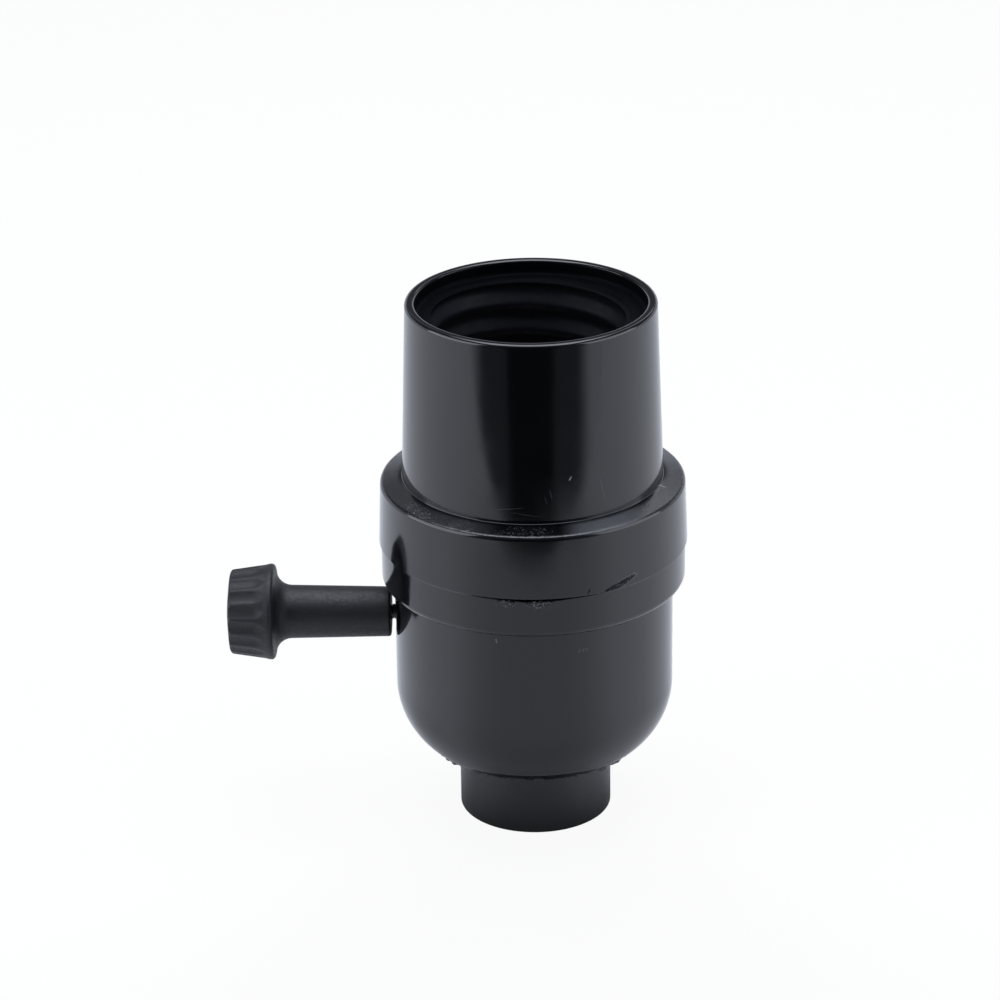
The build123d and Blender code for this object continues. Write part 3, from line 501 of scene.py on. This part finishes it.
rough = add(tree, "MapRange", {"Value": drag, "From Min": 0.3, "From Max": 0.7, "To Min": 0.42,
                               "To Max": 0.56}, interpolation_type="SMOOTHSTEP")
shader = tree.nodes["Principled BSDF"]
shader.inputs["IOR"].default_value = 1.36
tree.links.new(gloss.outputs[0], shader.inputs["Specular IOR Level"])
tree.links.new(colours.outputs[2], shader.inputs["Base Color"])
tree.links.new(rough.outputs[0], shader.inputs["Roughness"])
tree.links.new(bump.outputs[0], shader.inputs["Normal"])

flange, flange_top, top, ledge = 48.2, 48.9, 73.3, 71.3
spigot_r, spigot_bore, spigot_foot, bulb_bore, bulb_floor = 18.8, 17.4, 36.1, 13.75, 46.03
ring_low_r, ring_high_r, sleeve_low_r, sleeve_high_r, mouth_r = 20.64, 20.34, 17.41, 16.59, 15.25
crest, root, pitch, thread_low, thread_high, thread_mouth = 12.45, 13.3, 3.629, 60.9, 70.5, 13.25
threaded = profile([(thread_mouth, ledge, 0), (crest, thread_high, 0), (crest, thread_low, 0)], spacing=0.16)
section = np.concatenate((
    profile([(spigot_bore, spigot_foot, 0), (spigot_r, spigot_foot, 0.15), (spigot_r, seam, 0.1),
             (ring_low_r, seam, 0.14), (ring_high_r, flange, 0.6), (sleeve_low_r, flange_top, 0.12),
             (sleeve_high_r, top, 0.5), (mouth_r, top, 0.45), (mouth_r, ledge, 0.5),
             (thread_mouth, ledge, 0)])[:-1],
    threaded,
    profile([(crest, thread_low, 0), (bulb_bore, thread_low, 0), (bulb_bore, bulb_floor, 0.1),
             (spigot_bore, bulb_floor, 0.2), (spigot_bore, spigot_foot, 0)])[1:-1]))
around = np.radians(np.sort(np.concatenate((front % 360, spread))))
r, h = section[:, :1] + 0 * around, section[:, 1:] + 0 * around


def bulb_thread(height, angles):
    """Radius of the thread's skin, from the crest out to the root of its round groove.

    The groove's middle climbs by one pitch a turn and lies at the angle 360 * height / pitch. Across it the
    depth is a raised cosine, which is as soft as the rolled thread on a bulb.
    """
    away = (height / pitch - angles / (2 * np.pi) + 0.5) % 1 - 0.5
    return crest + (root - crest) * (0.5 + 0.5 * np.cos(2 * np.pi * away)) ** 0.85


in_mouth = (r < root) & (h >= thread_low - 0.01) & (h < ledge - 0.01)
r = np.where(in_mouth, np.maximum(r, bulb_thread(h, around)), r)
near_seam = np.exp(-((h - seam) / 0.3) ** 2) * (r > 19.2)
chips = 0.02 * np.abs(noise_row(around, 7, (40, 150)))
h = h + near_seam * chips
on_slope = (h > flange + 0.06) & (h < flange_top - 0.06) & (r > 17.5)
h = h + on_slope * 0.012 * noise_row(around, 8, (20, 160)) * np.cos(5 * r)
shell = surface("upper_moulding", around_z(r, h, around))
shell.data.materials.append(black_phenolic)
shell.data.materials.append(dull_phenolic)
centres = np.empty(3 * len(shell.data.polygons), dtype=np.float32)
shell.data.polygons.foreach_get("center", centres)
centres = centres.reshape(-1, 3) * 1000
inside = (np.hypot(centres[:, 0], centres[:, 1]) < mouth_r + 0.05) & (centres[:, 2] < top - 0.1)
shell.data.polygons.foreach_set("material_index", inside.astype(np.int32))
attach(shell, "socket")
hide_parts("upper_shell")


# Screw shell. Thin aluminium, drawn to a cup and rolled with the bulb's thread, its foot turned in and
# riveted to the block. It sits under the moulded thread, out of a finger's reach.
bright_aluminium = metal("drawn_aluminium_sheet", "#c3c5c7", "#909294", 0.3, grain_mm=(1.5, 1.5, 0.05))
sheet, foot, lip, lip_r, opening_r = 0.35, 46.03, 59.9, 13.65, 9.0
wall_rows = np.linspace(foot + 1.0, lip - 0.9, 80)
section = np.concatenate((
    profile([(opening_r, foot, 0), (crest + sheet, foot, 0.6), (crest + sheet, foot + 0.9, 0)]),
    np.column_stack((np.full(len(wall_rows), crest + sheet), wall_rows)),
    profile([(crest + sheet, lip - 0.8, 0), (crest + sheet, lip - sheet, 0.1), (lip_r, lip - sheet, 0.12),
             (lip_r, lip, 0.12), (crest, lip, 0.3), (crest, lip - 0.8, 0)], steps=3),
    np.column_stack((np.full(len(wall_rows), crest), wall_rows[::-1])),
    profile([(crest, foot + 0.9, 0), (crest, foot + sheet, 0.3), (opening_r, foot + sheet, 0)])))
around = np.radians(np.arange(0, 360, 2.5))
r, h = section[:, :1] + 0 * around, section[:, 1:] + 0 * around
fade = np.clip((h - foot - 2.0) / 1.2, 0, 1) * np.clip((lip - 2.0 - h) / 1.2, 0, 1) * (r < 13.0) * (r > 12.0)
r = r + fade * (bulb_thread(h, around) - crest)
cup = surface("rolled_screw_shell", around_z(r, h, around))
cup.data.materials.append(bright_aluminium)
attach(cup, "socket")
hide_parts("screw_shell")


# Knob. A matt black moulding, barely polished: a long stem, a plain rounded flange, and a slightly
# conical head with eighteen broad shallow flutes for the fingers. It is moulded round its steel stud.
def along_knob(radius, distance, angles):
    """Grid points from radii and distances out along -X, at the columns' angles about the knob's axis."""
    distance = np.broadcast_to(distance, radius.shape)
    return np.stack((-distance, radius * np.cos(angles), hole_z + radius * np.sin(angles)), axis=-1)


stem_end, neck, peak, head_end, stud_end, crown = 19.28, 34.58, 35.08, 40.98, 31.28, 0.5
stem_end_r, neck_r, peak_r, head_r, crown_r, stud_r = 3.37, 3.65, 6.56, 5.72, 5.1, 1.09
dome = [(x, head_end + crown * (1 - (x / crown_r) ** 2), 0) for x in (4.4, 3.4, 2.4, 1.2)]
section = profile([(0, stud_end, 0), (stud_r + 0.02, stud_end, 0), (stud_r + 0.02, stem_end, 0.1),
                   (stem_end_r, stem_end, 0.35), (neck_r, neck, 2.2), (peak_r, peak, 0.5),
                   (6.39, peak + 1.2, 0), (head_r, head_end, 0.6), *dome, (0, head_end + crown, 0)],
                  spacing=0.28)
around = np.radians(np.arange(0, 360, 0.75))
r, h = section[:, :1] + 0 * around, section[:, 1:] + 0 * around
flutes, flute_turn, flute_r, flute_depth = 18, 177, 1.7, 0.26
slope = (peak_r - head_r) / (head_end - peak)
line = peak_r - slope * (h - peak)
turn = ((around - np.radians(flute_turn)) / (2 * np.pi) * flutes + 0.5) % 1 - 0.5
beside = turn * 2 * np.pi / flutes * line
depth = np.sqrt(np.maximum(flute_r**2 - beside**2, 0)) - (flute_r - flute_depth)
run_out = np.clip((peak + 2.5 - h) / 1.4, 0, 1) ** 1.6 * flute_depth
cut = np.maximum(depth - run_out, 0)
soft = np.sqrt(cut**2 + 0.0006) - np.sqrt(0.0006)
step = 0.05 * np.clip((h - peak - 0.95) / 0.15, 0, 1)
r = np.where(h > peak + 0.8, np.minimum(r, line - soft - step), r)
grip = surface("fluted_knob", along_knob(r, h, around), closed_profile=False)

# Matt black plastic scatters the paper's light into an even grey sheen. Its skin has a grain of 0.4 mm and
# faint drag marks along the stem, 3.3 mm long.
matt_black = bpy.data.materials.new("moulded_black_plastic_matt")
matt_black.use_nodes = True
tree = matt_black.node_tree
place = add(tree, "TexCoord").outputs["Object"]
grain = add(tree, "TexNoise", {"Vector": place, "Scale": 2600.0, "Detail": 3.0})
drawn = add(tree, "Mapping", {"Vector": place, "Scale": (300.0, 2200.0, 2200.0)})
drag = add(tree, "TexNoise", {"Vector": drawn, "Scale": 1.0, "Detail": 2.0})
worn = add(tree, "MapRange", {"Value": drag, "From Min": 0.55, "From Max": 0.75, "To Min": 0.0,
                              "To Max": 0.5}, interpolation_type="SMOOTHSTEP")
grains = add(tree, "TexNoise", {"Vector": place, "Scale": 3400.0, "Detail": 3.0})
grains = add(tree, "MapRange", {"Value": grains, "From Min": 0.54, "From Max": 0.62},
             interpolation_type="SMOOTHSTEP")
# Two rows of specks on the stem's upper front, where its mould let some flash through.
for away, half_length in ((26.3, 3.9), (32.8, 0.6)):
    row = add(tree, "Mapping", {"Vector": place, "Location": (-away / 1000, -0.0022, 0.0312),
                                "Scale": (half_length / 1000, 0.0011, 0.0009)}, vector_type="TEXTURE")
    reach = add(tree, "VectorMath", {0: row}, operation="LENGTH").outputs["Value"]
    inside = add(tree, "MapRange", {"Value": reach, "From Min": 0.6, "From Max": 1.0, "To Min": 1.7,
                                    "To Max": 0.0}, interpolation_type="SMOOTHSTEP")
    specks = add(tree, "Math", {0: inside, 1: grains}, operation="MULTIPLY")
    worn = add(tree, "Math", {0: worn, 1: specks}, operation="MAXIMUM")
colours = add(tree, "Mix", {"Factor": worn, 6: tone("#101115"), 7: tone("#25262b")}, data_type="RGBA",
              clamp_factor=False)
rough = add(tree, "MapRange", {"Value": grain, "From Min": 0.3, "From Max": 0.7, "To Min": 0.46,
                               "To Max": 0.62})
bump = add(tree, "Bump", {"Height": grain, "Strength": 0.3, "Distance": 0.00003})
shader = tree.nodes["Principled BSDF"]
shader.inputs["IOR"].default_value = 1.55
tree.links.new(colours.outputs[2], shader.inputs["Base Color"])
tree.links.new(rough.outputs[0], shader.inputs["Roughness"])
tree.links.new(bump.outputs[0], shader.inputs["Normal"])
grip.data.materials.append(matt_black)
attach(grip, "switch_knob")
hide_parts("knob")


# Knob's stud. A thin zinc-plated steel rod with a fine thread all along, moulded into the stem and
# screwed into the switch's shaft. It shows in the narrow gap between the stem and the body.
inner_end, stud_pitch, thread_depth = 6.6, 0.4536, 0.2
along = np.linspace(inner_end + 0.15, stud_end - 0.05, 322)
section = np.concatenate(([(0, inner_end), (stud_r - 0.25, inner_end)],
                          np.column_stack((np.full(len(along), stud_r), along)),
                          [(stud_r - thread_depth, stud_end), (0, stud_end)]))
around = np.radians(np.arange(0, 360, 12.0))
r, h = section[:, :1] + 0 * around, section[:, 1:]
climb = np.abs((h / stud_pitch - around / (2 * np.pi)) % 1 - 0.5) * 2
r = r - np.where(r > stud_r - 0.01, thread_depth * climb, 0)
stud = surface("threaded_stud", along_knob(r, h, around), closed_profile=False)
stud.data.materials.append(zinc_plate)
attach(stud, "switch_knob")
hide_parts("knob_stud")


# Insulating pieces inside. The block under the bulb and the switch's box are the same phenolic, dull and
# brownish black because nobody sees them; the rotor is ivory plastic, and the plate is grey fibre.
def insulator(name, colour, second, roughness, mottle_mm, ior):
    """A moulded or pressed insulator: two shades mixed by noise of the mottle's size, with a fine bump."""
    made = bpy.data.materials.new(name)
    made.use_nodes = True
    tree = made.node_tree
    place = add(tree, "TexCoord").outputs["Object"]
    mottle = add(tree, "TexNoise", {"Vector": place, "Scale": 1000.0 / mottle_mm, "Detail": 5.0})
    share = add(tree, "MapRange", {"Value": mottle, "From Min": 0.35, "From Max": 0.65})
    colours = add(tree, "Mix", {"Factor": share, 6: tone(colour), 7: tone(second)}, data_type="RGBA")
    bump = add(tree, "Bump", {"Height": mottle, "Strength": 0.25, "Distance": 0.00003})
    rough = add(tree, "MapRange", {"Value": mottle, "To Min": roughness - 0.08, "To Max": roughness + 0.08})
    shader = tree.nodes["Principled BSDF"]
    shader.inputs["IOR"].default_value = ior
    tree.links.new(colours.outputs[2], shader.inputs["Base Color"])
    tree.links.new(rough.outputs[0], shader.inputs["Roughness"])
    tree.links.new(bump.outputs[0], shader.inputs["Normal"])
    return made


brown_phenolic = insulator("moulded_brown_black_phenolic", "#1c1512", "#241a15", 0.5, 0.9, 1.62)
ivory_plastic = insulator("moulded_ivory_plastic", "#d9d0b8", "#cfc4a8", 0.42, 2.0, 1.53)
grey_fibre = insulator("pressed_grey_fibre", "#4c4a48", "#5b5854", 0.75, 0.35, 1.5)
for node, made in (("contact_block", brown_phenolic), ("switch_housing", brown_phenolic),
                   ("rotor", ivory_plastic), ("fibre_plate", grey_fibre)):
    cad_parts[node].data.materials.clear()
    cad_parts[node].data.materials.append(made)

# Metal pieces inside. Yellow brass is stamped or turned and has gone brownish; the contacts are redder
# phosphor bronze, the wiper soft copper, the springs blued steel, and the neutral screw pale nickel.
yellow_brass = metal("stamped_yellow_brass", "#c9a552", "#7d6333", 0.32)
phosphor_bronze = metal("phosphor_bronze_strip", "#c48f5c", "#7a5436", 0.3, grain_mm=(0.1, 1.2, 0.4))
soft_copper = metal("soft_copper_sheet", "#c27a58", "#6f4431", 0.34)
blue_steel = metal("blued_spring_steel", "#6f7378", "#4a4c52", 0.34)
pale_nickel = metal("nickel_plate_on_brass", "#c6c1b4", "#99917f", 0.28)
for made, nodes in (
    (yellow_brass, ("contact_rivets", "shell_rivets", "neutral_terminal", "hot_terminal", "hot_screw",
                    "switch_shaft")),
    (phosphor_bronze, ("centre_contact", "ring_contact", "low_brush", "high_brush")),
    (soft_copper, ("rotor_wiper",)),
    (blue_steel, ("shaft_clip", "detent_spring")),
    (pale_nickel, ("neutral_screw",)),
    (zinc_plate, ("assembly_screws",)),
):
    for node in nodes:
        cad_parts[node].data.materials.clear()
        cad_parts[node].data.materials.append(made)
